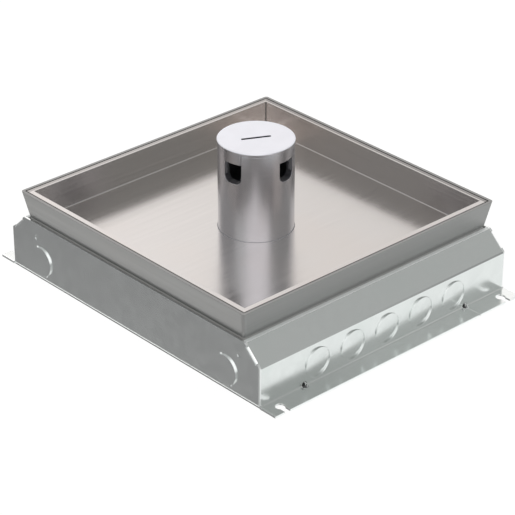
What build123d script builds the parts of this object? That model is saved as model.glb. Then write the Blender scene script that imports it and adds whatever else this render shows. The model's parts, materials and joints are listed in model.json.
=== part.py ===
from build123d import *
import os

# Underfloor socket box with a tile tray and a raised cable-outlet tube, in millimetres.
# Origin: centre of the box on the plane it stands on. +Z is up, +Y is the long way across the flanges.

# Housing
SHEET = 1.5
END_PLATE_X = 125.8
WALL_Y = 142.1
FLANGE_Y = 158.0
WALL_TOP_Z = 32.6
HOUSING_TOP_Z = 47.4
BEVEL_TOP_Y = 126.3
TOP_LIP_Y = 123.4
BEND_RADIUS = 2.5
FLANGE_BEND = 1.0
LIP_BEND = 2.0
EDGE_ROUND = 1.2
WELD_LEG = 2.0
WELD_Z = (5.0, 30.0)

# Tabs that turn the ends of each bevel down to the end plates, measured up the bevel from its foot
TAB_R = 2.2
TAB_RANGE = (4.4, 18.2)
TAB_RELIEF = 0.4

# Knock-outs for conduit
KNOCKOUT_R = 12.0
KNOCKOUT_SHEAR = 1.2
SIDE_KNOCKOUT_PITCH = 35.0
SIDE_KNOCKOUT_Z = 16.0
END_KNOCKOUT_Y = 106.0
END_KNOCKOUT_Z = 16.5
TIE_ANGLES = (25, 120, 205)
TIE_WIDTH = 1.8
KNOCKOUT_AXIS = 37.0
KNOCKOUT_TWIST = 6.5
KNOCKOUT_CUT = 0.1

# Round press marks on the end plates, near the ends of the bevels
PRESS_MARKS = ((-120.5, 34.9), (111.0, 35.2))
PRESS_MARK_R = 2.4
PRESS_DEPTH = 0.5

# Flange details
ANCHOR_X = 114.0
ANCHOR_Y = 150.4
ANCHOR_HEAD_R = 3.8
ANCHOR_NECK = 5.0
BEND_HOLE_X = 83.0
BEND_HOLE_R = 2.3
FLANGE_SLIT = 1.0

# Floor frame
FRAME_TOP_Z = 70.0
FRAME_TOP_HALF = 127.0
FRAME_WAIST_Z = 47.5
FRAME_WAIST_HALF = 122.95
FRAME_LIP = 2.4
FRAME_SKIRT_Z = 30.0
FRAME_CORNER_R = 2.5
LEDGE_TOP_Z = 41.4
LEDGE_HALF = 110.0
LEDGE_LEG = 8.0

# Tile tray
TRAY_FLOOR = 2.0
TRAY_WALL = 1.2
TRAY_INSIDE_HALF = 119.5
TRAY_UNDER_Z = 43.4
TRAY_TOP_Z = 70.0
TRAY_BEND = 1.0
TRAY_CORNER_SLIT = (0.8, 0.4)
RIM_WIDTH = 4.3
RIM_HEIGHT = 2.4
RIM_CHAMFER = 0.25

# Outlet tube and lid
TUBE_R = 29.2
TUBE_WALL = 3.5
TUBE_FOOT_Z = 39.0
TUBE_TOP_Z = 116.2
WIPER_WIDTH = 0.35
RUNNING_FIT = 0.05
NOTCH_WIDTH = 15.5
NOTCH_BOTTOM_Z = 92.3
NOTCH_CORNER_R = 5.0
NOTCH_TURN = 10.0
LID_TOP_Z = 119.05
LID_R = 29.6
LID_THICK = 2.45
LID_CHAMFER = 0.4
SKIRT_WALL = 2.0
SKIRT_PLAY = 0.2
TONGUE_BOTTOM_Z = 108.7
COIN_SLOT = (23.5, 2.6, 1.7)
COIN_SLOT_TURN = -27.0
LINER_WALL = 1.5
SADDLE_THICK = 1.0
SADDLE_SUNK = 0.3
LID_GAP = 0.35

# Tube guide under the tray
GLIDE_R = 38.5
GLIDE_Z = (40.4, 43.35)
GROOVE_DEPTH = 0.8
STRAP_WIDTH = 14.0
STRAP_R = 34.4
CAGE_R = 52.0
CAGE_LAP = 1.0
CAGE_STUD_R = 46.0
CAGE_STUD = (2.0, 6.0)
CAGE_NUT = (4.0, 3.2)
CAGE_FOOT_Z = 3.5
GLIDE_PLAY = 0.4
GLIDE_SPLIT = 3.0
QUARTERS = (45, 135, 225, 315)

# Levelling screws
LEVEL_X = 101.0
LEVEL_Y = 98.0
LUG_HALF = 9.0
LUG_CORNER_R = 4.0
SCREW_R = 4.0
SCREW_HEAD_R = 6.5
SCREW_HEAD_HIGH = 3.0
SCREW_COLLAR_HIGH = 2.0
SCREW_SOCKET = (2.9, 2.1)
SCREW_FOOT_Z = 3.0
SCREW_FOOT_CHAMFER = 1.0
PILLAR_R = 7.0
PILLAR_TOP_Z = 35.5
PILLAR_FLANGE = 3.0

# Devices
CARRIER_X = 80.0
CARRIER_TOP_Z = 36.0
CARRIER_HALF = 25.0
CARRIER_FOOT = 16.0
CARRIER_BEND = 2.0
CARRIER_SCREW_X = 18.0
CARRIER_SCREW = (2.0, 4.0, 2.2)
CARRIER_SCREW_SLOT = (5.0, 0.8, 1.0)
MODULE = 45.0
MODULE_PLAY = 0.15
MODULE_BODY = 41.0
MODULE_FACE = 2.0
MODULE_CORNER_R = 2.0
MODULE_CHAMFER = 0.6
SOCKET_RECESS_R = 19.6
SOCKET_RECESS_DEPTH = 16.0
SOCKET_PIN_PITCH = 19.0
SOCKET_PIN_R = 2.6
SOCKET_PIN_DEPTH = 10.0
SOCKET_GUIDE = (17.6, 5.0)
SOCKET_BODY_Z = 6.0
EARTH_CLIP_X = 18.4
EARTH_CLIP = (1.0, 5.0)
EARTH_CLIP_NOSE_R = 1.4
EARTH_CLIP_POCKET = (2.4, 7.0)
BLANK_WALL = 2.0
BLANK_COLLAR = 7.0
EARTH_STUD_PLACE = (114.5, 0.0)
EARTH_STUD = (3.0, 16.0)
EARTH_WASHER = (6.0, 1.6)
EARTH_NUT = (5.77, 4.8)
EARTH_LUG_GAP = 2.0

OVERLAP = 1.0


def box(x, y, z):
    """A block between the given low and high limits on each axis."""
    size = [high - low for low, high in (x, y, z)]
    middle = [(high + low) / 2 for low, high in (x, y, z)]
    return Pos(*middle) * Box(*size)


def disc(radius, z_low, z_high):
    """An upright cylinder on the Z axis."""
    return Pos(0, 0, (z_low + z_high) / 2) * Cylinder(radius, z_high - z_low)


def ring(outer, inner, z_low, z_high):
    """An upright ring on the Z axis."""
    return disc(outer, z_low, z_high) - disc(inner, z_low - OVERLAP, z_high + OVERLAP)


def square_block(z_low, half_low, z_high, half_high, corner=0.0):
    """A square block whose side changes evenly from its low to its high face."""
    faces = []
    for z, half in ((z_low, half_low), (z_high, half_high)):
        outline = RectangleRounded(2 * half, 2 * half, corner) if corner else Rectangle(2 * half, 2 * half)
        faces.append(Pos(0, 0, z) * outline)
    return loft(Sketch() + faces)


def at_four(place_x, place_y, piece):
    """Copies of a piece at (+-x, +-y), the mirrored way round on each side."""
    return [
        Pos(sign_x * place_x, sign_y * place_y, 0) * Rot(0, 0, turn) * piece
        for sign_x, sign_y, turn in ((1, 1, 0), (-1, 1, 180), (-1, -1, 180), (1, -1, 0))
    ]


def half_sheared(sheet, face):
    """A sheet whose knock-out is pushed out of a face by most of its thickness, held at three ties."""
    sheet += face * disc(KNOCKOUT_R, 0, KNOCKOUT_SHEAR)
    sheet -= face * disc(KNOCKOUT_R, -SHEET - OVERLAP, KNOCKOUT_SHEAR - SHEET)
    for angle in TIE_ANGLES:
        tie = Pos(KNOCKOUT_R, 0, (KNOCKOUT_SHEAR - SHEET) / 2) * Box(TIE_WIDTH, TIE_WIDTH, SHEET)
        sheet += face * Rot(0, 0, angle) * tie
    return sheet


def twisted(sheet, face):
    """A sheet with a knock-out cut round and twisted about the line between its two ties."""
    middle = face * Pos(0, 0, -SHEET / 2) * Rot(0, 0, KNOCKOUT_AXIS)
    sheet -= middle * Cylinder(KNOCKOUT_R, SHEET + OVERLAP)
    blank = Rot(KNOCKOUT_TWIST, 0, 0) * Cylinder(KNOCKOUT_R - KNOCKOUT_CUT, SHEET)
    for end in (-KNOCKOUT_R, KNOCKOUT_R):
        blank += Pos(end, 0, 0) * Box(TIE_WIDTH, TIE_WIDTH, SHEET)
    return sheet + middle * blank


def bevel_plane():
    """The plane across the bevel towards -Y: X along the box, Y into the sheet, Z up the bevel."""
    rise = (0, WALL_Y - BEVEL_TOP_Y, HOUSING_TOP_Z - WALL_TOP_Z)
    return Plane(origin=(0, -WALL_Y, WALL_TOP_Z), x_dir=(1, 0, 0), z_dir=rise)


def across_bevel(x, y, z):
    """A block between limits on the axes of the bevel's plane."""
    return bevel_plane() * box(x, y, z)


def bevel_tab():
    """The tab at the +X end of the bevel: a quarter round that ends flush with the end plate."""
    quarter = Circle(TAB_R) - Circle(TAB_R - SHEET)
    quarter &= Pos(TAB_R / 2, -TAB_R / 2) * Rectangle(TAB_R, TAB_R)
    low, high = TAB_RANGE
    tab = Pos(END_PLATE_X - TAB_R, TAB_R, low) * extrude(quarter, high - low)
    return bevel_plane() * tab


def side_sheet():
    """The side towards -Y: flange, upright wall, bevel and narrow top lip, bent from one sheet."""
    path = FilletPolyline(
        (-FLANGE_Y, SHEET),
        (-WALL_Y, SHEET),
        (-WALL_Y, WALL_TOP_Z),
        (-BEVEL_TOP_Y, HOUSING_TOP_Z),
        (-TOP_LIP_Y, HOUSING_TOP_Z),
        radius=[FLANGE_BEND, BEND_RADIUS, LIP_BEND],
    )
    section = make_face(offset(path, SHEET, side=Side.RIGHT))
    sheet = extrude(Plane.YZ * section, END_PLATE_X, both=True)
    low, high = TAB_RANGE
    relief = (low - TAB_RELIEF, high + TAB_RELIEF)
    for end in (-1, 1):
        inner = sorted((end * (END_PLATE_X - SHEET), end * (END_PLATE_X + OVERLAP)))
        round_end = sorted((end * (END_PLATE_X - TAB_R), end * (END_PLATE_X + OVERLAP)))
        sheet -= box(inner, (-WALL_Y, 0), (-OVERLAP, HOUSING_TOP_Z + OVERLAP))
        sheet -= across_bevel(round_end, (-OVERLAP, SHEET + OVERLAP), relief)
        sheet -= Pos(end * ANCHOR_X, 0, 0) * anchor_slot()
        bend = Pos(end * BEND_HOLE_X, -WALL_Y + SHEET / 2, SHEET / 2) * Rot(45, 0, 0)
        sheet -= bend * Cylinder(BEND_HOLE_R, 8 * SHEET)
    sheet += bevel_tab()
    sheet += mirror(bevel_tab(), Plane.YZ)
    sheet -= box(
        (BEND_HOLE_X - FLANGE_SLIT / 2, BEND_HOLE_X + FLANGE_SLIT / 2),
        (-FLANGE_Y - OVERLAP, -WALL_Y),
        (-OVERLAP, SHEET + OVERLAP),
    )
    face = Pos(0, -WALL_Y, SIDE_KNOCKOUT_Z) * Rot(90, 0, 0)
    for place in range(-2, 3):
        sheet = twisted(sheet, Pos(place * SIDE_KNOCKOUT_PITCH, 0, 0) * face)
    return sheet


def anchor_slot():
    """The keyhole slot in a flange: a round head and a neck that is open at the flange's edge."""
    head = Pos(0, -ANCHOR_Y, 0) * disc(ANCHOR_HEAD_R, -OVERLAP, SHEET + OVERLAP)
    half = ANCHOR_NECK / 2
    return head + box((-half, half), (-FLANGE_Y - OVERLAP, -ANCHOR_Y), (-OVERLAP, SHEET + OVERLAP))


def base_pan():
    """The bottom sheet with both end plates folded up, cut to the outline of the side sheets."""
    path = FilletPolyline(
        (-END_PLATE_X, HOUSING_TOP_Z),
        (-END_PLATE_X, 0),
        (END_PLATE_X, 0),
        (END_PLATE_X, HOUSING_TOP_Z),
        radius=BEND_RADIUS,
    )
    section = make_face(offset(path, SHEET, side=Side.LEFT))
    channel = extrude(Plane.XZ * section, WALL_Y, both=True)
    outline = Polyline(
        (-WALL_Y, 0), (WALL_Y, 0), (WALL_Y, WALL_TOP_Z), (BEVEL_TOP_Y, HOUSING_TOP_Z),
        (-BEVEL_TOP_Y, HOUSING_TOP_Z), (-WALL_Y, WALL_TOP_Z), close=True,
    )
    channel &= extrude(Plane.YZ * make_face(outline), END_PLATE_X + OVERLAP, both=True)
    rounded = RectangleRounded(2 * END_PLATE_X, 2 * WALL_Y, EDGE_ROUND)
    channel &= extrude(rounded, HOUSING_TOP_Z)
    floor_edge = WALL_Y - SHEET - RUNNING_FIT
    inner_x = END_PLATE_X - SHEET
    low, high = TAB_RANGE
    both_plates = (-END_PLATE_X - OVERLAP, END_PLATE_X + OVERLAP)
    recess = across_bevel(both_plates, (-OVERLAP, TAB_R), (low - TAB_RELIEF, high + TAB_RELIEF))
    for side in (-1, 1):
        beyond = sorted((side * floor_edge, side * (WALL_Y + OVERLAP)))
        channel -= box((-inner_x, inner_x), beyond, (-OVERLAP, SHEET + BEND_RADIUS))
        channel -= Rot(0, 0, 90 + side * 90) * recess
        for place in (-END_KNOCKOUT_Y, END_KNOCKOUT_Y):
            face = Pos(side * END_PLATE_X, place, END_KNOCKOUT_Z) * Rot(0, side * 90, 0)
            channel = half_sheared(channel, face)
        for place, height in PRESS_MARKS:
            face = Pos(side * END_PLATE_X, -side * place, height) * Rot(0, side * 90, 0)
            channel -= face * disc(PRESS_MARK_R, -PRESS_DEPTH, OVERLAP)
    for place in carrier_screw_places():
        channel -= place * disc(2 + RUNNING_FIT, -OVERLAP, SHEET + OVERLAP)
    return channel


def corner_welds():
    """The four upright weld beads that join the side sheets to the end plates inside the corners."""
    low, high = WELD_Z
    section = Polyline((0, 0), (-WELD_LEG, 0), (0, -WELD_LEG), close=True)
    bead = Pos(END_PLATE_X - SHEET, WALL_Y - SHEET, low) * extrude(make_face(section), high - low)
    beads = [bead, mirror(bead, Plane.YZ)]
    return Compound(children=beads + [mirror(piece, Plane.XZ) for piece in beads])


def floor_frame():
    """The flared frame round the tray, with a straight skirt that reaches down into the housing."""
    outer = square_block(FRAME_WAIST_Z, FRAME_WAIST_HALF, FRAME_TOP_Z, FRAME_TOP_HALF, FRAME_CORNER_R)
    outer += square_block(FRAME_SKIRT_Z, FRAME_WAIST_HALF, FRAME_WAIST_Z, FRAME_WAIST_HALF, FRAME_CORNER_R)
    waist, corner = FRAME_WAIST_HALF - SHEET, FRAME_CORNER_R - SHEET
    inner = square_block(FRAME_WAIST_Z, waist, FRAME_TOP_Z, FRAME_TOP_HALF - FRAME_LIP, corner)
    inner += square_block(FRAME_SKIRT_Z, waist, FRAME_WAIST_Z, waist, corner)
    return outer - inner


def support_ledge():
    """The angle ring inside the frame that carries the tray, its upright leg against the skirt."""
    outer = FRAME_WAIST_HALF - SHEET
    low = LEDGE_TOP_Z - SHEET
    leg = square_block(low - LEDGE_LEG, outer, LEDGE_TOP_Z, outer, FRAME_CORNER_R - SHEET)
    leg -= square_block(low - LEDGE_LEG, outer - SHEET, low, outer - SHEET)
    return leg - square_block(low, LEDGE_HALF, LEDGE_TOP_Z, LEDGE_HALF)


def ledge_gasket():
    """The rubber strip between the ledge and the tray."""
    outer = TRAY_INSIDE_HALF
    strip = square_block(LEDGE_TOP_Z, outer, TRAY_UNDER_Z, outer)
    return strip - square_block(LEDGE_TOP_Z, LEDGE_HALF + 2, TRAY_UNDER_Z, LEDGE_HALF + 2)


def levelling_lugs():
    """The four plates under the ledge that hold the heads of the levelling screws."""
    high = LEDGE_TOP_Z - SHEET
    outer = FRAME_WAIST_HALF - 2 * SHEET
    plate = box((LEVEL_X - LUG_HALF, outer), (-LUG_HALF, LUG_HALF), (high - SHEET, high))
    plate = fillet(plate.edges().filter_by(Axis.Z).group_by(Axis.X)[0], LUG_CORNER_R)
    plate = Pos(-LEVEL_X, 0, 0) * plate
    plate -= disc(SCREW_R + 2 * RUNNING_FIT, high - 2 * SHEET, high + SHEET)
    return Compound(children=at_four(LEVEL_X, LEVEL_Y, plate))


def levelling_screw():
    """A screw that is held in its lug by head and collar and turns in its threaded pillar."""
    lug_top = LEDGE_TOP_Z - SHEET
    head_low = lug_top + RUNNING_FIT
    screw = disc(SCREW_R, SCREW_FOOT_Z, head_low + OVERLAP)
    head_top = head_low + SCREW_HEAD_HIGH
    screw += disc(SCREW_HEAD_R, head_low, head_top)
    collar_top = lug_top - SHEET - RUNNING_FIT
    screw += disc(SCREW_HEAD_R, collar_top - SCREW_COLLAR_HIGH, collar_top)
    socket_r, socket_depth = SCREW_SOCKET
    screw -= Pos(0, 0, head_top - socket_depth) * extrude(RegularPolygon(socket_r, 6), socket_depth)
    foot = screw.faces().sort_by(Axis.Z)[0].edges()
    return chamfer(foot, SCREW_FOOT_CHAMFER)


def threaded_pillars():
    """The four pillars on the base that the levelling screws turn in."""
    pillar = ring(PILLAR_R, SCREW_R + 2 * RUNNING_FIT, SHEET, PILLAR_TOP_Z)
    pillar += ring(PILLAR_R + PILLAR_FLANGE, SCREW_R + 2 * RUNNING_FIT, SHEET, 2 * SHEET)
    return Compound(children=at_four(LEVEL_X, LEVEL_Y, pillar))


def tray_pan():
    """The tray for the floor covering, folded up from one sheet, with the hole for the tube."""
    outer = TRAY_INSIDE_HALF + TRAY_WALL
    floor_top = TRAY_UNDER_Z + TRAY_FLOOR
    top = TRAY_TOP_Z - RIM_HEIGHT
    pan = square_block(TRAY_UNDER_Z, outer, top, outer, TRAY_WALL)
    pan = fillet(pan.faces().sort_by(Axis.Z)[0].edges(), 2 * TRAY_BEND)
    hollow = square_block(floor_top, TRAY_INSIDE_HALF, top + OVERLAP, TRAY_INSIDE_HALF)
    pan -= fillet(hollow.faces().sort_by(Axis.Z)[0].edges(), TRAY_BEND)
    pan -= disc(TUBE_R + RUNNING_FIT + WIPER_WIDTH, TRAY_UNDER_Z - OVERLAP, floor_top + OVERLAP)
    for turn in QUARTERS:
        corner = Pos(TRAY_INSIDE_HALF * 2 ** 0.5, 0, (floor_top + top) / 2)
        pan -= Rot(0, 0, turn) * corner * Box(*TRAY_CORNER_SLIT, top - floor_top + OVERLAP)
    return pan


def tray_rim():
    """The four mitred edge bars round the top of the tray."""
    inside, outside = TRAY_INSIDE_HALF, TRAY_INSIDE_HALF + RIM_WIDTH
    outline = Polyline(
        (inside, -inside), (outside, -outside), (outside, outside), (inside, inside), close=True
    )
    bar = Pos(0, 0, TRAY_TOP_Z - RIM_HEIGHT) * extrude(make_face(outline), RIM_HEIGHT)
    top_edge = bar.edges().filter_by(Axis.Y).group_by(Axis.Z)[-1]
    bar = chamfer(top_edge, RIM_CHAMFER)
    return Compound(children=[Rot(0, 0, turn) * bar for turn in (0, 90, 180, 270)])


def tube_wiper():
    """The lip seal between the tray floor and the tube."""
    inner = TUBE_R + RUNNING_FIT
    return ring(inner + WIPER_WIDTH, inner, TRAY_UNDER_Z, TRAY_UNDER_Z + TRAY_FLOOR)


def guide_cage():
    """The ring under the tray floor, with four straps bent down from it that guide the tube's foot."""
    flange_low = TRAY_UNDER_Z - SHEET
    cage = ring(CAGE_R, GLIDE_R + CAGE_LAP, flange_low, TRAY_UNDER_Z)
    half = STRAP_WIDTH / 2
    for turn in QUARTERS:
        tab = box((STRAP_R, GLIDE_R + 2 * CAGE_LAP), (-half, half), (flange_low, TRAY_UNDER_Z))
        tab += box((STRAP_R, STRAP_R + SHEET), (-half, half), (CAGE_FOOT_Z, TRAY_UNDER_Z))
        cage += Rot(0, 0, turn) * tab
    stud_hole = disc(CAGE_STUD[0] + 2 * RUNNING_FIT, flange_low - OVERLAP, TRAY_UNDER_Z + OVERLAP)
    for place in cage_stud_places():
        cage -= place * stud_hole
    return cage


def cage_stud_places():
    """Where the guide cage is held under the tray floor."""
    return [Rot(0, 0, turn) * Pos(CAGE_STUD_R, 0, 0) for turn in (0, 90, 180, 270)]


def cage_studs():
    """The four weld studs under the tray floor that carry the guide cage."""
    radius, length = CAGE_STUD
    stud = disc(radius, TRAY_UNDER_Z - length, TRAY_UNDER_Z)
    return Compound(children=[place * stud for place in cage_stud_places()])


def cage_nuts():
    """The nuts on the weld studs."""
    radius, height = CAGE_NUT
    high = TRAY_UNDER_Z - SHEET
    nut = Pos(0, 0, high - height) * extrude(RegularPolygon(radius, 6), height)
    nut -= disc(CAGE_STUD[0], high - height - OVERLAP, high + OVERLAP)
    return Compound(children=[place * nut for place in cage_stud_places()])


def glide_ring():
    """The split ring snapped into the tube's groove, notched round the four guide straps."""
    low, high = GLIDE_Z
    bore = TUBE_R - GROOVE_DEPTH + RUNNING_FIT
    glide = ring(GLIDE_R, bore, low, high)
    half = STRAP_WIDTH / 2 + GLIDE_PLAY
    through = (low - OVERLAP, high + OVERLAP)
    for turn in QUARTERS:
        notch = box((STRAP_R - GLIDE_PLAY, GLIDE_R + OVERLAP), (-half, half), through)
        glide -= Rot(0, 0, turn) * notch
    return glide - box((0, GLIDE_R + OVERLAP), (-GLIDE_SPLIT / 2, GLIDE_SPLIT / 2), through)


def notch_cut(inset=0.0):
    """A U-shaped cut through the +X side of the tube, open at the top, smaller all round by an inset."""
    low, high = NOTCH_BOTTOM_Z + inset, TUBE_TOP_Z + OVERLAP
    outline = Rectangle(NOTCH_WIDTH - 2 * inset, high - low)
    outline = fillet(outline.vertices().group_by(Axis.Y)[0], NOTCH_CORNER_R - inset)
    upright = Plane.YZ * Pos(0, (high + low) / 2) * outline
    return extrude(upright, TUBE_R + OVERLAP)


def outlet_tube():
    """The tube with its four U-shaped notches and the groove for the glide ring at its foot."""
    tube = ring(TUBE_R, TUBE_R - TUBE_WALL, TUBE_FOOT_Z, TUBE_TOP_Z)
    low, high = GLIDE_Z
    tube -= ring(TUBE_R + OVERLAP, TUBE_R - GROOVE_DEPTH, low - RUNNING_FIT, high + RUNNING_FIT)
    for place in range(4):
        tube -= Rot(0, 0, NOTCH_TURN + 90 * place) * notch_cut()
    return tube


def tube_liner():
    """The plastic sleeve inside the tube, with a saddle over the foot of each notch for the cables."""
    outer = TUBE_R - TUBE_WALL - RUNNING_FIT
    liner = ring(outer, outer - LINER_WALL, TUBE_FOOT_Z, TONGUE_BOTTOM_Z - LID_GAP)
    opening = notch_cut(SADDLE_THICK)
    saddle = notch_cut(RUNNING_FIT) - opening
    saddle_top = NOTCH_BOTTOM_Z + NOTCH_CORNER_R
    saddle &= ring(TUBE_R - SADDLE_SUNK, outer - LINER_WALL, NOTCH_BOTTOM_Z, saddle_top)
    for place in range(4):
        turned = Rot(0, 0, NOTCH_TURN + 90 * place)
        liner -= turned * opening
        liner += turned * saddle
    return liner


def lid():
    """The lid: a disc with a coin slot, a locating skirt and four tongues that close the notches."""
    low = LID_TOP_Z - LID_THICK
    cap = disc(LID_R, low, LID_TOP_Z)
    cap = chamfer(cap.edges().group_by(Axis.Z)[-1], LID_CHAMFER)
    skirt_r = TUBE_R - TUBE_WALL - SKIRT_PLAY
    cap += ring(skirt_r, skirt_r - SKIRT_WALL, TONGUE_BOTTOM_Z, low + OVERLAP)
    half = NOTCH_WIDTH / 2 - LID_GAP
    block = box((skirt_r - SKIRT_WALL / 2, TUBE_R), (-half, half), (TONGUE_BOTTOM_Z, low + OVERLAP))
    tongue = block & disc(TUBE_R - SKIRT_PLAY / 2, TONGUE_BOTTOM_Z - OVERLAP, low + OVERLAP)
    for place in range(4):
        cap += Rot(0, 0, NOTCH_TURN + 90 * place) * tongue
    length, width, depth = COIN_SLOT
    slot = Pos(0, 0, LID_TOP_Z - depth) * extrude(SlotOverall(length, width), depth)
    return cap - Rot(0, 0, COIN_SLOT_TURN) * slot


def lid_gasket():
    """The flat seal between the tube's top edge and the lid, cut out where the tongues pass."""
    outer, inner = TUBE_R - SADDLE_SUNK, TUBE_R - TUBE_WALL + SKIRT_PLAY
    seal = ring(outer, inner, TUBE_TOP_Z, LID_TOP_Z - LID_THICK)
    half = NOTCH_WIDTH / 2
    slot = box((inner - 2 * OVERLAP, TUBE_R), (-half, half), (TUBE_TOP_Z - OVERLAP, LID_TOP_Z))
    for place in range(4):
        seal -= Rot(0, 0, NOTCH_TURN + 90 * place) * slot
    return seal


def device_carrier():
    """The bent bracket that holds three device modules on the +X side: feet, sides and framed top."""
    half_y = 1.5 * MODULE
    path = FilletPolyline(
        (-half_y - CARRIER_FOOT, 2 * SHEET),
        (-half_y - SHEET, 2 * SHEET),
        (-half_y - SHEET, CARRIER_TOP_Z),
        (half_y + SHEET, CARRIER_TOP_Z),
        (half_y + SHEET, 2 * SHEET),
        (half_y + CARRIER_FOOT, 2 * SHEET),
        radius=CARRIER_BEND,
    )
    section = make_face(offset(path, SHEET, side=Side.RIGHT))
    bracket = Pos(CARRIER_X, 0, 0) * extrude(Plane.YZ * section, CARRIER_HALF, both=True)
    opening = (MODULE_BODY + SHEET) / 2
    end = half_y - (MODULE - MODULE_BODY) / 2 + SHEET / 2
    across = (CARRIER_X - opening, CARRIER_X + opening)
    bracket -= box(across, (-end, end), (CARRIER_TOP_Z - 2 * SHEET, CARRIER_TOP_Z + OVERLAP))
    for place in carrier_screw_places():
        bracket -= place * disc(CARRIER_SCREW[0] + 4 * RUNNING_FIT, 0, 2 * SHEET + OVERLAP)
    return bracket


def carrier_screw_places():
    """Where the carriers' feet are screwed down."""
    foot_y = 1.5 * MODULE + (CARRIER_FOOT + SHEET) / 2
    return [
        Pos(side * CARRIER_X + x, end * foot_y, 0)
        for side in (-1, 1) for x in (-CARRIER_SCREW_X, CARRIER_SCREW_X) for end in (-1, 1)
    ]


def carrier_screws():
    """The screws that hold both carriers to the base."""
    low = 2 * SHEET
    radius, head_r, head_high = CARRIER_SCREW
    length, width, depth = CARRIER_SCREW_SLOT
    screw = disc(radius, RUNNING_FIT, low + OVERLAP) + disc(head_r, low, low + head_high)
    screw = fillet(screw.edges().group_by(Axis.Z)[-1], head_high / 2)
    screw -= Pos(0, 0, low + head_high) * Box(length, width, 2 * depth)
    return Compound(children=[place * screw for place in carrier_screw_places()])


def module_face():
    """The square face of a 45 mm module, which lies on the carrier."""
    half = MODULE / 2 - MODULE_PLAY
    face = box((-half, half), (-half, half), (CARRIER_TOP_Z, CARRIER_TOP_Z + MODULE_FACE))
    face = fillet(face.edges().filter_by(Axis.Z), MODULE_CORNER_R)
    return chamfer(face.edges().group_by(Axis.Z)[-1], MODULE_CHAMFER)


def power_socket():
    """A 45 mm socket module: round recess with two pin holes, two guides and two earth pockets."""
    half = MODULE_BODY / 2
    module = module_face() + box((-half, half), (-half, half), (SOCKET_BODY_Z, CARRIER_TOP_Z))
    face_top = CARRIER_TOP_Z + MODULE_FACE
    recess_floor = face_top - SOCKET_RECESS_DEPTH
    recess = disc(SOCKET_RECESS_R, recess_floor, face_top + OVERLAP)
    module -= recess
    pin_hole = disc(SOCKET_PIN_R, recess_floor - SOCKET_PIN_DEPTH, recess_floor + OVERLAP)
    guide_y, guide_width = SOCKET_GUIDE
    guide = box((-guide_width / 2, guide_width / 2), (guide_y, half), (recess_floor, face_top)) & recess
    pocket_x, pocket_y = EARTH_CLIP_POCKET
    pocket = box(
        (EARTH_CLIP_X - pocket_x / 2, EARTH_CLIP_X + pocket_x / 2),
        (-pocket_y / 2, pocket_y / 2),
        (0, face_top - MODULE_FACE),
    )
    for turn in (0, 180):
        turned = Rot(0, 0, turn)
        module -= turned * Pos(0, SOCKET_PIN_PITCH / 2, 0) * pin_hole
        module += turned * guide
        module -= turned * pocket
    return module


def earth_clip():
    """One of the two sprung earth contacts that stand in a socket's recess."""
    low, high = SOCKET_BODY_Z + 2 * MODULE_FACE, CARRIER_TOP_Z - MODULE_FACE / 2
    thick, width = EARTH_CLIP
    clip = box((-thick / 2, thick / 2), (-width / 2, width / 2), (low, high))
    nose_z = high - 3 * EARTH_CLIP_NOSE_R
    nose = Pos(-thick / 2, 0, nose_z) * Rot(90, 0, 0) * Cylinder(EARTH_CLIP_NOSE_R, width)
    return clip + (nose & box((-width, 0), (-width, width), (low, high)))


def blanking_plate():
    """The snap-in plate that closes the third place of a carrier."""
    half = MODULE_BODY / 2
    inner = half - BLANK_WALL
    collar = box((-half, half), (-half, half), (CARRIER_TOP_Z - BLANK_COLLAR, CARRIER_TOP_Z))
    collar -= box((-inner, inner), (-inner, inner), (0, CARRIER_TOP_Z))
    return module_face() + collar


def earth_stud():
    """The threaded weld stud for the protective earth."""
    radius, length = EARTH_STUD
    stud = Pos(*EARTH_STUD_PLACE, 0) * disc(radius, SHEET, SHEET + length)
    return chamfer(stud.edges().group_by(Axis.Z)[-1], radius / 4)


def earth_nuts():
    """A washer and two nuts on the earth stud, with room for a lug between them."""
    bore = disc(EARTH_STUD[0], 0, SHEET + EARTH_STUD[1])
    washer_r, washer_high = EARTH_WASHER
    nut_r, nut_high = EARTH_NUT
    low = SHEET + washer_high
    washer = disc(washer_r, SHEET, low) - bore
    nut = extrude(RegularPolygon(nut_r, 6), nut_high)
    nuts = [Pos(0, 0, level) * nut - bore for level in (low, low + nut_high + EARTH_LUG_GAP)]
    return Compound(children=[Pos(*EARTH_STUD_PLACE, 0) * piece for piece in [washer] + nuts])


def in_carrier(module, side, places):
    """Copies of a module at the given places of the carrier on one side of the tube."""
    return [Pos(side * CARRIER_X, place * MODULE, 0) * module for place in places]


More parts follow.
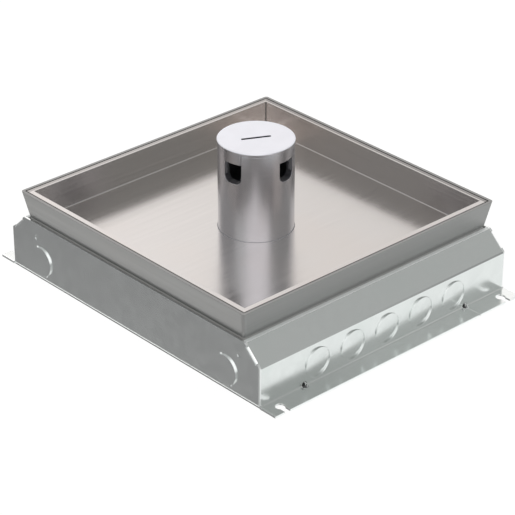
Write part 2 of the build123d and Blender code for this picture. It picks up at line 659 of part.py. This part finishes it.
def build():
    """Every piece of the box, by the name of its node."""
    parts = {
        "base_pan": base_pan(),
        "side_sheet_front": side_sheet(),
        "side_sheet_rear": Rot(0, 0, 180) * side_sheet(),
        "corner_welds": corner_welds(),
        "threaded_pillars": threaded_pillars(),
        "earth_stud": earth_stud(),
        "earth_nuts": earth_nuts(),
        "carrier_screws": carrier_screws(),
        "floor_frame": floor_frame(),
        "support_ledge": support_ledge(),
        "ledge_gasket": ledge_gasket(),
        "levelling_lugs": levelling_lugs(),
        "tray_pan": tray_pan(),
        "tray_rim": tray_rim(),
        "tube_wiper": tube_wiper(),
        "guide_cage": guide_cage(),
        "cage_studs": cage_studs(),
        "cage_nuts": cage_nuts(),
        "glide_ring": glide_ring(),
        "outlet_tube": outlet_tube(),
        "tube_liner": tube_liner(),
        "tube_lid": lid(),
        "lid_gasket": lid_gasket(),
    }
    for number, screw in enumerate(at_four(LEVEL_X, LEVEL_Y, levelling_screw()), 1):
        parts[f"levelling_screw_{number}"] = screw
    for name, side in (("left", -1), ("right", 1)):
        parts[f"device_carrier_{name}"] = Rot(0, 0, 90 - side * 90) * device_carrier()
        sockets = in_carrier(power_socket(), side, (-1, 0))
        for number, socket in enumerate(sockets, 1):
            parts[f"power_socket_{name}_{number}"] = socket
        clips = [Rot(0, 0, turn) * Pos(EARTH_CLIP_X, 0, 0) * earth_clip() for turn in (0, 180)]
        parts[f"earth_clips_{name}"] = Compound(
            children=[piece for clip in clips for piece in in_carrier(clip, side, (-1, 0))]
        )
        parts[f"blanking_plate_{name}"] = in_carrier(blanking_plate(), side, (1,))[0]
    return parts


os.makedirs("parts", exist_ok=True)
for node, shape in build().items():
    export_step(shape, f"parts/{node}.step")
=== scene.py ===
import json
import math

import bpy
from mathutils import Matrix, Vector

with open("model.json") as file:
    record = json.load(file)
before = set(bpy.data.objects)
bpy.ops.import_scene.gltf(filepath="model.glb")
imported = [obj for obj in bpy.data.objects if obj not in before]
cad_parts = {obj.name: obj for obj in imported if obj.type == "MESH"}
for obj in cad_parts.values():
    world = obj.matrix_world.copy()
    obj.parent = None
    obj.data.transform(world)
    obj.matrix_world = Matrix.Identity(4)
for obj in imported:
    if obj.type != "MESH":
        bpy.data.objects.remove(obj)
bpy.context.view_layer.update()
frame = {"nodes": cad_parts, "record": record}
NODES = frame["nodes"]
MM = 0.001

# The camera that the photograph was taken with: a long lens, about 1.7 m from the box
EYE = Vector((-1022.3, -1124.6, 857.1)) * MM
TARGET = Vector((-8.76, -11.16, 24.40)) * MM
LENS = 157.72
SENSOR = 36.0
TO_CAMERA = (EYE - TARGET).normalized()


class Nodes:
    """A node tree, with short calls for the nodes that the finishes are made from."""

    def __init__(self, tree):
        self.tree = tree
        self.tree.nodes.clear()

    def add(self, kind, settings=None, **inputs):
        """A node of that kind, with its settings, and its inputs by name, or as in_0, in_1 by number."""
        node = self.tree.nodes.new(kind)
        for key, value in (settings or {}).items():
            setattr(node, key, value)
        for key, value in inputs.items():
            place = int(key[3:]) if key.startswith("in_") else key.replace("_", " ")
            self.feed(node.inputs[place], value)
        return node

    def feed(self, socket, value):
        """Joins a socket to another, or sets its value."""
        if isinstance(value, bpy.types.NodeSocket):
            self.tree.links.new(value, socket)
        elif isinstance(value, (tuple, list, Vector)) and len(value) == 3 and socket.type == "RGBA":
            socket.default_value = (*value, 1.0)
        else:
            socket.default_value = value

    def math(self, operation, *values):
        """The result of a sum on one, two or three numbers."""
        inputs = {f"in_{n}": value for n, value in enumerate(values)}
        return self.add("ShaderNodeMath", {"operation": operation}, **inputs).outputs[0]

    def times(self, first, *others):
        """The product of numbers: for masks of 0 and 1, 1 where all of them are."""
        for other in others:
            first = self.math("MULTIPLY", first, other)
        return first

    def span(self, value, low, high, to_low=0.0, to_high=1.0):
        """A number brought smoothly from one range to another, held at its ends."""
        ends = {"From_Min": low, "From_Max": high, "To_Min": to_low, "To_Max": to_high}
        return self.add("ShaderNodeMapRange", {"interpolation_type": "SMOOTHSTEP"}, Value=value, **ends).outputs[0]

    def around(self, grain, middle, spread, ends=(0.30, 0.70)):
        """A number that a grain takes from one side of a middle value to the other."""
        return self.span(grain, *ends, middle - spread, middle + spread)

    def size(self, value):
        """A number without its sign."""
        return self.math("ABSOLUTE", value)

    def over(self, value, limit):
        """1 where a number is over a limit."""
        return self.math("GREATER_THAN", value, limit)

    def under(self, value, limit):
        """1 where a number is under a limit."""
        return self.math("LESS_THAN", value, limit)

    def between(self, value, low, high):
        """1 where a number is between two limits."""
        return self.times(self.over(value, low), self.under(value, high))

    def within(self, reach, across, along):
        """1 where two distances lie in a circle of that radius."""
        squares = (self.times(part, part) for part in (across, along))
        return self.under(self.math("ADD", *squares), reach ** 2)

    def radius(self, x, y):
        """The distance from the tube's axis."""
        return self.math("SQRT", self.math("ADD", self.times(x, x), self.times(y, y)))

    def blend(self, factor, low, high):
        """A number between two."""
        return self.add("ShaderNodeMix", {"data_type": "FLOAT"}, in_0=factor, in_2=low, in_3=high).outputs[0]

    def mix(self, factor, low, high, how="MIX"):
        """A colour between two."""
        kind = {"data_type": "RGBA", "blend_type": how}
        return self.add("ShaderNodeMix", kind, in_0=factor, in_6=low, in_7=high).outputs[2]

    def toned(self, colour, tone):
        """A colour, multiplied by another."""
        return self.mix(1.0, colour, tone, how="MULTIPLY")

    def place(self, scale, offset=(0, 0, 0)):
        """The point on the object, in metres, stretched by a scale on each axis."""
        here = self.add("ShaderNodeTexCoord").outputs["Object"]
        return self.add("ShaderNodeMapping", {}, Vector=here, Location=offset, Scale=scale).outputs[0]

    def axes(self, kind="Object"):
        """The three parts of the object's point or normal."""
        here = self.add("ShaderNodeTexCoord").outputs[kind]
        return self.add("ShaderNodeSeparateXYZ", {}, Vector=here).outputs

    def noise(self, size, detail, rough=0.55, stretch=(1, 1, 1), offset=(0, 0, 0)):
        """Cloudy noise of about 0 to 1 whose features are that size in metres, drawn out by stretch."""
        point = self.place(tuple(1 / (size * part) for part in stretch), offset)
        looks = {"Scale": 1.0, "Detail": detail, "Roughness": rough}
        return self.add("ShaderNodeTexNoise", {}, Vector=point, **looks).outputs[0]

    def crystals(self):
        """A chance number for each crystal of a zinc coat, with crooked borders."""
        bends = self.add("ShaderNodeTexNoise", {}, Vector=self.place((SPANGLE_BENDS,) * 3)).outputs["Color"]
        crooked = self.add("ShaderNodeVectorMath", {"operation": "MULTIPLY_ADD"}, in_0=bends,
                           in_1=(SPANGLE_BEND,) * 3, in_2=self.place((SPANGLES,) * 3)).outputs[0]
        cell = self.add("ShaderNodeTexVoronoi", {}, Vector=crooked, Scale=1.0).outputs["Color"]
        return self.add("ShaderNodeSeparateXYZ", {}, Vector=cell).outputs[0]

    def edge(self, radius):
        """The surface's normal, rounded over its sharp edges by a radius in metres."""
        return self.add("ShaderNodeBevel", {"samples": 6}, Radius=radius).outputs[0]

    def bump(self, height, distance, strength, normal):
        """The normal that a height in 0 to 1 gives, for that distance in metres."""
        looks = {"Distance": distance, "Strength": strength, "Normal": normal}
        return self.add("ShaderNodeBump", {}, Height=height, **looks).outputs[0]

    def output(self, kind, shader):
        """Joins the last shader to the output."""
        self.add(kind, {}, Surface=shader)


def new_finish(name):
    """An empty material and its nodes."""
    material = bpy.data.materials.new(name)
    material.use_nodes = True
    return material, Nodes(material.node_tree)


def surface(n, colour, roughness, normal, metallic=0.0):
    """Joins the finish to the surface shader."""
    shader = n.add("ShaderNodeBsdfPrincipled", {}, Base_Color=colour, Roughness=roughness, Normal=normal,
                   Metallic=metallic)
    n.output("ShaderNodeOutputMaterial", shader.outputs[0])


def shaded(colour, share):
    """A colour at a share of its brightness."""
    return tuple(share * part for part in colour)


def grey(level):
    """A grey of that level."""
    return (level, level, level)


def cloudy(n, colour, size, tone):
    """A colour that clouds of that size take slowly to a share of its brightness."""
    return n.mix(n.span(n.noise(size, detail=2), *CLOUDS), colour, shaded(colour, tone))


# What the finishes share: the part of its normal at which a face counts as facing an axis, the rounding of edges
# and the depth of a grain in metres, and the parts of a noise's range in which clouds and streaks change
FACING = 0.5
EDGE = 0.0003
SMALL_EDGE = 0.0002
GRAIN_DEPTH = 0.00001
CLOUDS = (0.35, 0.70)
STREAKS = (0.35, 0.65)

# The zinc coat: its crystals to a metre, and the colours, roughness and relief of crystals, clouds and streaks,
# with the painted highlight of cut edges, the painted light of flanges and the painted shade of folds, creases and
# holes
SPANGLES = 150
SPANGLE_BENDS = 90
SPANGLE_BEND = 0.9
SPANGLE_TONE = 0.94
SPANGLE_SHARE = 0.3
SPANGLE_ROUGH = (0.20, 0.24)
SPANGLE_HEIGHT = 0.12
CLOUD_SIZE = 0.035
GREENISH_CLOUDS = (0.45, 0.75)
GREENISH_SHARE = 0.4
CLOUD_ROUGH = (0.3, 0.7, -0.02, 0.03)
ROLLING = {"size": 0.0009, "detail": 4, "stretch": (60, 1, 1)}
ROLLING_HEIGHT = 0.6
ZINC_RELIEF = 0.25
ZINC = (0.79, 0.815, 0.805)
ZINC_GREENISH = (0.72, 0.77, 0.75)
CUT_EDGE_HIGHLIGHT = (0.93, 0.95, 0.945)
FLANGE_LIGHT = (0.93, 0.955, 0.945)
FOLD_SHADE = (0.72, 0.745, 0.735)
FOLD_SHADE_RIGHT = (0.86, 0.885, 0.875)
CREASE_SHADE = (0.58, 0.60, 0.595)
HOLE_SHADE = grey(0.03)

# Places on the sheets, in metres, and how far a face there turns towards the front, as a part of its normal
END_PLATE_X = 0.12425
END_PLATE_MOTTLE = 0.25
FLANGE_END_Y = 0.1579
FLANGE_FOLD_Y = 0.1435
FLANGE_TOP_Z = 0.0017
FLANGE_PALER_X = (-0.09, 0.0)
FOLD_TOP_Z = 0.006
FOLD_FACING = (0.12, 0.97)
CREASE_LOW_Z = 0.030
CREASE_FACING = (0.72, 0.985)
CREASE_DARKER_X = (-0.06, 0.1)
LIP_LOW_Z = 0.0457
LIP_Y = 0.1266
LIP_DULL = 0.7
DISC_Z = (0.008, 0.042)
DISC_FACING = (0.97, 0.9995)
BEND_HOLE = (0.083, 0.14135, 0.00075)
BEND_HOLE_REACH = 0.0025
PRESS_MARKS_Y = (-0.1205, 0.111)
PRESS_MARK_Z = 0.035
PRESS_MARK_REACH = 0.0027
PRESS_DARK = 0.68


def in_bend_hole(n, x, y, z):
    """1 in the small holes through the bends, whose axes slant halfway between flange and wall."""
    aside = n.math("SUBTRACT", n.size(x), BEND_HOLE[0])
    outwards = n.math("SUBTRACT", n.size(y), BEND_HOLE[1])
    upwards = n.math("SUBTRACT", z, BEND_HOLE[2])
    off_axis = n.times(n.math("SUBTRACT", outwards, upwards), math.sin(math.radians(45)))
    return n.within(BEND_HOLE_REACH, aside, off_axis)


def at_press_mark(n, x, y, z):
    """1 at the two press marks of an end plate. One plate is the other turned half round."""
    turned = n.times(n.math("SIGN", x), y)
    above = n.math("SUBTRACT", z, PRESS_MARK_Z)
    marks = (n.within(PRESS_MARK_REACH, n.math("ADD", turned, mark), above) for mark in PRESS_MARKS_Y)
    return n.math("MAXIMUM", *marks)


def flat_discs(n, z, facing_y):
    """The rounded normal, but on the twisted discs of the walls the wall's own, as they look in the photograph."""
    on_disc = n.times(n.between(facing_y, *DISC_FACING), n.between(z, *DISC_Z))
    wall = n.add("ShaderNodeCombineXYZ", {}, Y=n.math("SIGN", n.axes("Normal")[1])).outputs[0]
    kind = {"data_type": "VECTOR"}
    return n.add("ShaderNodeMix", kind, in_0=on_disc, in_4=n.edge(EDGE), in_5=wall).outputs[1]


def galvanised(name):
    """Zinc-coated sheet: faint crystals, rolling streaks and greenish clouds, with a painted highlight on the cut
    edges, painted light on the flanges towards the right, painted shade on the folds and creases, a dull top lip and
    painted shade in the holes."""
    material, n = new_finish(name)
    spangle = n.crystals()
    clouds = n.noise(CLOUD_SIZE, detail=2)
    x, y, z = n.axes()
    facing_x, facing_y = (n.size(part) for part in n.axes("Normal")[:2])
    end_plate = n.over(n.size(x), END_PLATE_X)
    mottle = n.span(end_plate, 0, 1, 1, END_PLATE_MOTTLE)

    end_cut = n.times(end_plate, n.under(facing_x, FACING))
    flange_cut = n.times(n.over(n.size(y), FLANGE_END_Y), n.over(facing_y, FACING))
    cut = n.math("MAXIMUM", end_cut, flange_cut)
    in_hole = in_bend_hole(n, x, y, z)
    mark_side = n.times(at_press_mark(n, x, y, z), end_cut)
    flange = n.times(n.over(n.size(y), FLANGE_FOLD_Y), n.under(z, FLANGE_TOP_Z))
    to_right = n.span(x, *FLANGE_PALER_X)
    fold = n.times(n.under(z, FOLD_TOP_Z), n.between(facing_y, *FOLD_FACING))
    crease = n.times(n.between(facing_y, *CREASE_FACING), n.over(z, CREASE_LOW_Z))
    lip = n.times(n.over(z, LIP_LOW_Z), n.under(n.size(y), LIP_Y), n.math("SUBTRACT", 1.0, end_plate))

    colour = n.mix(n.span(spangle, 0, 1, 0, SPANGLE_SHARE), ZINC, shaded(ZINC, SPANGLE_TONE))
    greenish = n.times(n.span(clouds, *GREENISH_CLOUDS, 0, GREENISH_SHARE), mottle)
    colour = n.mix(greenish, colour, ZINC_GREENISH)
    # painted highlight: the cut edges of end plates and flanges paler
    colour = n.mix(cut, colour, CUT_EDGE_HIGHLIGHT)
    # painted shade in the bend holes, which are also made rough and not metallic below
    colour = n.mix(in_hole, colour, HOLE_SHADE)
    colour = n.mix(mark_side, colour, shaded(ZINC, PRESS_DARK))
    # painted light: the flanges paler towards the right
    colour = n.mix(n.times(flange, to_right), colour, FLANGE_LIGHT)
    # painted shade on the bends between walls and flanges, less of it towards the right
    colour = n.mix(fold, colour, n.mix(to_right, FOLD_SHADE, FOLD_SHADE_RIGHT))
    # painted shade on the bends at the top of the walls, more of it towards the right
    colour = n.mix(n.times(crease, n.span(x, *CREASE_DARKER_X)), colour, CREASE_SHADE)

    rough = n.math("ADD", n.span(spangle, 0, 1, *SPANGLE_ROUGH), n.times(n.span(clouds, *CLOUD_ROUGH), mottle))
    dull = n.math("MAXIMUM", in_hole, n.times(lip, LIP_DULL))
    height = n.math("ADD", n.times(n.noise(**ROLLING), ROLLING_HEIGHT), n.times(spangle, SPANGLE_HEIGHT))
    normal = n.bump(height, GRAIN_DEPTH, ZINC_RELIEF, flat_discs(n, z, facing_y))
    surface(n, colour, n.math("MAXIMUM", rough, dull), normal, metallic=n.math("SUBTRACT", 1.0, dull))
    return material


# Brushed stainless steel: the frame, whose foot is painted paler, rough and not metallic, painted light in the dark
# gap under it, and the tray with its rim, with painted shade and light on its walls and painted shade on its rear and
# right rim
BRUSH_LENGTH = 90
FINE_STREAKS = {"size": 0.0007, "detail": 1}
COARSE_STREAKS = {"size": 0.0022, "detail": 2, "offset": (7, 3, 5)}
STREAK_TONE = 0.96
STREAK_ROUGH = 0.02
SCRATCH_ROUGH = 0.015
TINT_PATCHES = {"size": 0.08, "detail": 2, "offset": (2, 9, 4)}
TINT_SPAN = (0.4, 0.7, 0, 0.6)
FRAME_STEEL = (0.303, 0.304, 0.30)
FRAME_TINT = (0.296, 0.293, 0.288)
FRAME_ROUGH = 0.34
FRAME_RELIEF = 0.02
FRAME_WAIST_Z = 0.0484
FOOT_PALER = (0.40, 0.40, 0.39)
FOOT_ROUGH = 0.6
TRAY_STEEL = (0.648, 0.624, 0.608)
TRAY_TINT = (0.648, 0.608, 0.58)
TRAY_ROUGH = 0.20
TRAY_RELIEF = 0.03
WALL_NEAR_CORNER = (0.065, 0.118)
WALL_SHADE = 0.83
CORNER_LIGHT = 1.22
TRAY_SEAM = 0.1190
SEAM_WIDTH = 0.0006
SEAM_DARK = 0.62
RIM_INNER_LINE = 0.1207
RIM_LOW_Z = 0.0690
RIM_REAR_SHADE = 0.62
RIM_RIGHT_SHADE = 0.45


def brushed(n, colour, tint, rough):
    """The colour, roughness and height of brushed steel: long fine streaks along each face, a few deeper
    scratches and a slow change of tint."""
    faces_x = n.over(n.size(n.axes("Normal")[0]), FACING)
    fine, coarse = (
        n.blend(faces_x, n.noise(stretch=(BRUSH_LENGTH, 1, 1), **kind), n.noise(stretch=(1, BRUSH_LENGTH, 1), **kind))
        for kind in (FINE_STREAKS, COARSE_STREAKS)
    )
    shade = n.mix(n.span(fine, *STREAKS), shaded(colour, STREAK_TONE), colour)
    shade = n.mix(n.span(n.noise(**TINT_PATCHES), *TINT_SPAN), shade, tint)
    scratched = n.around(coarse, rough, SCRATCH_ROUGH, ends=STREAKS)
    return shade, n.math("ADD", scratched, n.around(fine, 0, STREAK_ROUGH)), fine


def frame_finish(name):
    """Brushed frame whose foot is painted paler, rough and not metallic: painted light that lifts the shade of the
    gap under the frame.
    """
    material, n = new_finish(name)
    shade, rough, streaks = brushed(n, FRAME_STEEL, FRAME_TINT, FRAME_ROUGH)
    foot = n.under(n.axes()[2], FRAME_WAIST_Z)
    # painted light: the foot paler and not metallic, which lifts the shade of the gap under the frame
    shade = n.mix(foot, shade, FOOT_PALER)
    rough = n.math("MAXIMUM", rough, n.times(foot, FOOT_ROUGH))
    normal = n.bump(streaks, GRAIN_DEPTH, FRAME_RELIEF, n.edge(EDGE))
    surface(n, shade, rough, normal, metallic=n.math("SUBTRACT", 1.0, foot))
    return material


def tray_finish(name):
    """Brushed tray and rim: painted shade on the walls, turning to painted light towards the rear corner, a dark seam
    there, and painted shade on the rear and right rim.
    """
    material, n = new_finish(name)
    shade, rough, streaks = brushed(n, TRAY_STEEL, TRAY_TINT, TRAY_ROUGH)
    x, y, z = n.axes()
    upright = n.under(n.size(n.axes("Normal")[2]), FACING)
    # painted shade on the walls, turning to painted light towards the rear corner
    tone = n.mix(n.span(n.math("MINIMUM", x, y), *WALL_NEAR_CORNER), grey(WALL_SHADE), grey(CORNER_LIGHT))
    shade = n.mix(upright, shade, n.toned(shade, tone))
    seam = n.span(n.math("MINIMUM", n.size(x), n.size(y)), TRAY_SEAM - SEAM_WIDTH, TRAY_SEAM)
    shade = n.mix(n.times(seam, upright), shade, shaded(TRAY_STEEL, SEAM_DARK))
    # painted shade on the rear and right rim
    rear_rim = n.times(n.over(z, RIM_LOW_Z), n.over(n.math("MAXIMUM", x, y), RIM_INNER_LINE))
    rim_shade = n.mix(n.over(x, y), grey(RIM_REAR_SHADE), grey(RIM_RIGHT_SHADE))
    shade = n.mix(rear_rim, shade, n.toned(shade, rim_shade))
    surface(n, shade, rough, n.bump(streaks, GRAIN_DEPTH, TRAY_RELIEF, n.edge(EDGE)), metallic=1.0)
    return material


# Satin tube and lid, whose places are in metres and whose roughness is a middle value and its spread, and the painted
# shade in the lid's coin slot
TUBE_STEEL = (0.63, 0.63, 0.66)
TUBE_TONE = 0.96
TUBE_ROUGH = (0.26, 0.01)
TUBE_RELIEF = 0.02
RINGS = {"size": 0.0003, "detail": 3, "rough": 0.6, "stretch": (40, 40, 1)}
RING_SHARE = 0.2
TUBE_WALL_MIDDLE = 0.02745
TUBE_WALL_HALF = 0.0016
NOTCH_LOW_Z = 0.09
SAWN_ROUGHER = 0.3
LID_METAL = (0.83, 0.84, 0.89)
LID_ROUGH = (0.38, 0.04)
LID_RELIEF = 0.15
LID_EDGE_Z = 0.11868
COIN_SLOT_Z = (0.1167, 0.11895)
COIN_SLOT_REACH = 0.0125
COIN_SLOT_SHADE = (0.30, 0.30, 0.33)


def satin_rings(n):
    """The colour, roughness and height of satin steel with the fine rings that polishing in a lathe leaves."""
    rings = n.noise(**RINGS)
    colour = cloudy(n, TUBE_STEEL, size=0.03, tone=TUBE_TONE)
    colour = n.mix(n.span(rings, *STREAKS, 0, RING_SHARE), colour, shaded(TUBE_STEEL, TUBE_TONE))
    return colour, n.around(rings, *TUBE_ROUGH), rings


def tube_finish(name):
    """Satin tube, a little rougher on the sawn faces of its notches."""
    material, n = new_finish(name)
    colour, rough, rings = satin_rings(n)
    x, y, z = n.axes()
    off_middle = n.math("SUBTRACT", n.radius(x, y), TUBE_WALL_MIDDLE)
    sawn = n.times(n.under(n.size(off_middle), TUBE_WALL_HALF), n.over(z, NOTCH_LOW_Z))
    rough = n.math("ADD", rough, n.times(sawn, SAWN_ROUGHER))
    surface(n, colour, rough, n.bump(rings, GRAIN_DEPTH, TUBE_RELIEF, n.edge(EDGE)), metallic=1.0)
    return material


def lid_finish(name):
    """Fine blasted metal on top, pale and slightly blue, painted shade in the coin slot, and satin below and on the
    edge.
    """
    material, n = new_finish(name)
    grain = n.noise(size=0.0004, detail=4, rough=0.7)
    pale = cloudy(n, LID_METAL, size=0.02, tone=0.97)
    satin, smooth, _ = satin_rings(n)
    x, y, z = n.axes()
    below = n.under(z, LID_EDGE_Z)
    in_slot = n.times(n.between(z, *COIN_SLOT_Z), n.under(n.radius(x, y), COIN_SLOT_REACH))
    # painted shade in the coin slot
    colour = n.mix(in_slot, n.mix(below, pale, satin), COIN_SLOT_SHADE)
    rough = n.blend(below, n.around(grain, *LID_ROUGH), smooth)
    surface(n, colour, rough, n.bump(grain, GRAIN_DEPTH, LID_RELIEF, n.edge(EDGE)), metallic=1.0)
    return material


# Small parts of metal, plastic and rubber
SCREW_ZINC = (0.60, 0.60, 0.57)
BRASS = (0.78, 0.58, 0.30)
BLACK = (0.018, 0.018, 0.020)
SOCKET_WHITE = (0.80, 0.80, 0.77)
DARK_GREY = (0.035, 0.035, 0.040)
SILICONE = (0.50, 0.50, 0.51)


def small_metal(name, colour, rough):
    """Plated or plain turned metal."""
    material, n = new_finish(name)
    grain = n.noise(size=0.0006, detail=4, rough=0.6)
    shade = cloudy(n, colour, size=0.008, tone=0.82)
    normal = n.bump(grain, 2 * GRAIN_DEPTH, strength=0.3, normal=n.edge(SMALL_EDGE))
    surface(n, shade, n.around(grain, rough, spread=0.06), normal, metallic=1.0)
    return material


def moulded(name, colour, rough, grains_deep):
    """Moulded plastic or rubber with a fine grain."""
    material, n = new_finish(name)
    grain = n.noise(size=0.0005, detail=3, rough=0.6)
    shade = cloudy(n, colour, size=0.02, tone=0.9)
    normal = n.bump(grain, grains_deep * GRAIN_DEPTH, strength=0.4, normal=n.edge(EDGE))
    surface(n, shade, n.around(grain, rough, spread=0.05), normal)
    return material


def finish_cad_nodes():
    """Gives every CAD node the finish of its material slot, or its own."""
    of_slot = {
        "galvanised_steel": galvanised("galvanised_steel"),
        "stainless_frame": frame_finish("stainless_frame"),
        "stainless_tray": tray_finish("stainless_tray"),
        "stainless_tube": tube_finish("stainless_tube"),
        "stainless_lid": lid_finish("stainless_lid"),
        "zinc_fasteners": small_metal("zinc_fasteners", SCREW_ZINC, 0.3),
        "brass": small_metal("brass", BRASS, 0.25),
        "black_rubber": moulded("black_rubber", BLACK, 0.7, 3),
        "black_plastic": moulded("black_plastic", BLACK, 0.5, 2),
        "white_plastic": moulded("white_plastic", SOCKET_WHITE, 0.32, 1),
    }
    of_node = {
        "tube_liner": moulded("grey_plastic", DARK_GREY, 0.45, 2),
        "tube_wiper": moulded("grey_silicone", SILICONE, 0.5, 1),
    }
    for row in frame["record"]["subparts"]:
        materials = NODES[row["node"]].data.materials
        materials.clear()
        materials.append(of_node.get(row["node"], of_slot[row["material_slot"]]))


# The faces whose mirror directions place the studio's cards, and the ways to the cards that no face places
UP = Vector((0, 0, 1))
TOWARDS_FRONT = Vector((0, -1, 0))
TOWARDS_LEFT = Vector((-1, 0, 0))
BEVEL = Vector((0, -0.684, 0.730))
BESIDE_TOP_CARD = Vector((0.356, 0.799, 0.485))
BELOW_REAR = Vector((-0.27, 0.68, -0.68))
LEFT_CARD = Vector((-0.95, -0.02, 0.17))
RIGHT_CARD = Vector((0.98, 0, 0.1))
BELOW_RIGHT = Vector((0.75, 0.53, -0.38))
REAR_CARD = Vector((-0.217, 0.965, -0.144))
BELOW_LEFT = Vector((-0.681, 0.121, -0.721))
ROOM_LEVEL = 0.80


def mirrored(normal, across=None):
    """Where a face with this normal looks from the camera, and again from a second face that it meets."""
    way = 2 * normal.dot(TO_CAMERA) * normal - TO_CAMERA
    if across is not None:
        way = way - 2 * way.dot(across) * across
    return way


def cards():
    """The soft cards round the box: the way to each, its radius without and with its soft edge in degrees,
    and its colour. A later card lies over an earlier one."""
    return [
        (mirrored(UP), 38, 70, (1.0, 0.98, 0.97)),
        (BESIDE_TOP_CARD, 12, 18, (1.25, 1.22, 1.21)),
        (TO_CAMERA, 24, 44, (1.42, 1.40, 1.41)),
        (mirrored(TOWARDS_FRONT), 28, 60, (0.99, 1.005, 1.0)),
        (mirrored(TOWARDS_FRONT, across=UP), 20, 45, (0.52, 0.52, 0.51)),
        (mirrored(BEVEL), 18, 34, (0.455, 0.46, 0.455)),
        (mirrored(TOWARDS_LEFT), 30, 60, (0.26, 0.258, 0.26)),
        (mirrored(TOWARDS_LEFT, across=UP), 20, 45, grey(0.50)),
        (BELOW_REAR, 8, 13, (1.5, 1.5, 1.48)),
        (mirrored((TOWARDS_LEFT + TOWARDS_FRONT).normalized()), 7, 15, grey(0.2)),
        (mirrored((BEVEL + 2 * TOWARDS_FRONT).normalized()), 7, 14, (0.33, 0.34, 0.34)),
        (LEFT_CARD, 20, 29, (0.98, 1.0, 0.99)),
        (RIGHT_CARD, 16, 26, (0.85, 0.86, 0.86)),
        (BELOW_RIGHT, 12, 24, grey(0.25)),
        (REAR_CARD, 12, 22, grey(0.4)),
        (BELOW_LEFT, 12, 26, (0.95, 0.95, 0.94)),
    ]


def studio_world():
    """A white room for the camera, and for everything else the light of the cards in a grey room."""
    world = bpy.data.worlds.new("studio")
    world.use_nodes = True
    bpy.context.scene.world = world
    n = Nodes(world.node_tree)
    here = n.add("ShaderNodeTexCoord").outputs["Generated"]
    light = grey(ROOM_LEVEL)
    for way, full, reach, colour in cards():
        near = n.add("ShaderNodeVectorMath", {"operation": "DOT_PRODUCT"}, in_0=here, in_1=tuple(way.normalized()))
        share = n.span(near.outputs["Value"], math.cos(math.radians(reach)), math.cos(math.radians(full)))
        light = n.mix(share, light, colour)
    seen = n.add("ShaderNodeLightPath").outputs["Is Camera Ray"]
    background = n.add("ShaderNodeBackground", {}, Color=n.mix(seen, light, grey(1.0)))
    n.output("ShaderNodeOutputWorld", background.outputs[0])


# The floor: half its length, how deep it lies under the base, the part that the base covers and its shades
FLOOR_HALF = 3.0
FLOOR_DROP = 0.0002
COVERED_X = 0.125
COVERED_Y = 0.1455
FLOOR_GLOW = 0.86
FLOOR_SHADE = grey(0.20)
FLOOR_PAPER = grey(0.75)


def studio_floor():
    """The white floor, which keeps a faint shadow of the box, and whose glow is left out under its closed base: a
    painted shadow there.
    """
    mesh = bpy.data.meshes.new("studio_floor")
    ways = ((-1, -1), (1, -1), (1, 1), (-1, 1))
    mesh.from_pydata([(FLOOR_HALF * x, FLOOR_HALF * y, 0) for x, y in ways], [], [(0, 1, 2, 3)])
    floor = bpy.data.objects.new("studio_floor", mesh)
    floor.location.z = -FLOOR_DROP
    floor.visible_glossy = False
    bpy.context.scene.collection.objects.link(floor)
    material, n = new_finish("studio_floor")
    x, y, _ = n.axes()
    beside, beyond = n.over(n.size(x), COVERED_X), n.over(n.size(y), COVERED_Y)
    # painted shadow: no glow where the base covers the floor
    glow = n.times(n.math("MAXIMUM", beside, beyond), FLOOR_GLOW)
    shadowed = n.add("ShaderNodeBsdfDiffuse", {}, Color=FLOOR_SHADE).outputs[0]
    bright = n.add("ShaderNodeEmission", {}, Color=grey(1.0), Strength=glow).outputs[0]
    for_camera = n.add("ShaderNodeAddShader", {}, in_0=shadowed, in_1=bright).outputs[0]
    for_others = n.add("ShaderNodeBsdfDiffuse", {}, Color=FLOOR_PAPER).outputs[0]
    seen = n.add("ShaderNodeLightPath").outputs["Is Camera Ray"]
    choice = n.add("ShaderNodeMixShader", {}, in_0=seen, in_1=for_others, in_2=for_camera)
    n.output("ShaderNodeOutputMaterial", choice.outputs[0])
    mesh.materials.append(material)


def camera():
    """The camera at the photograph's place."""
    data = bpy.data.cameras.new("camera")
    data.lens = LENS
    data.sensor_width = SENSOR
    piece = bpy.data.objects.new("camera", data)
    piece.location = EYE
    piece.rotation_mode = "QUATERNION"
    piece.rotation_quaternion = (TARGET - EYE).to_track_quat("-Z", "Y")
    bpy.context.scene.collection.objects.link(piece)
    bpy.context.scene.camera = piece


finish_cad_nodes()
studio_world()
studio_floor()
camera()
bpy.context.scene.view_settings.view_transform = "Standard"
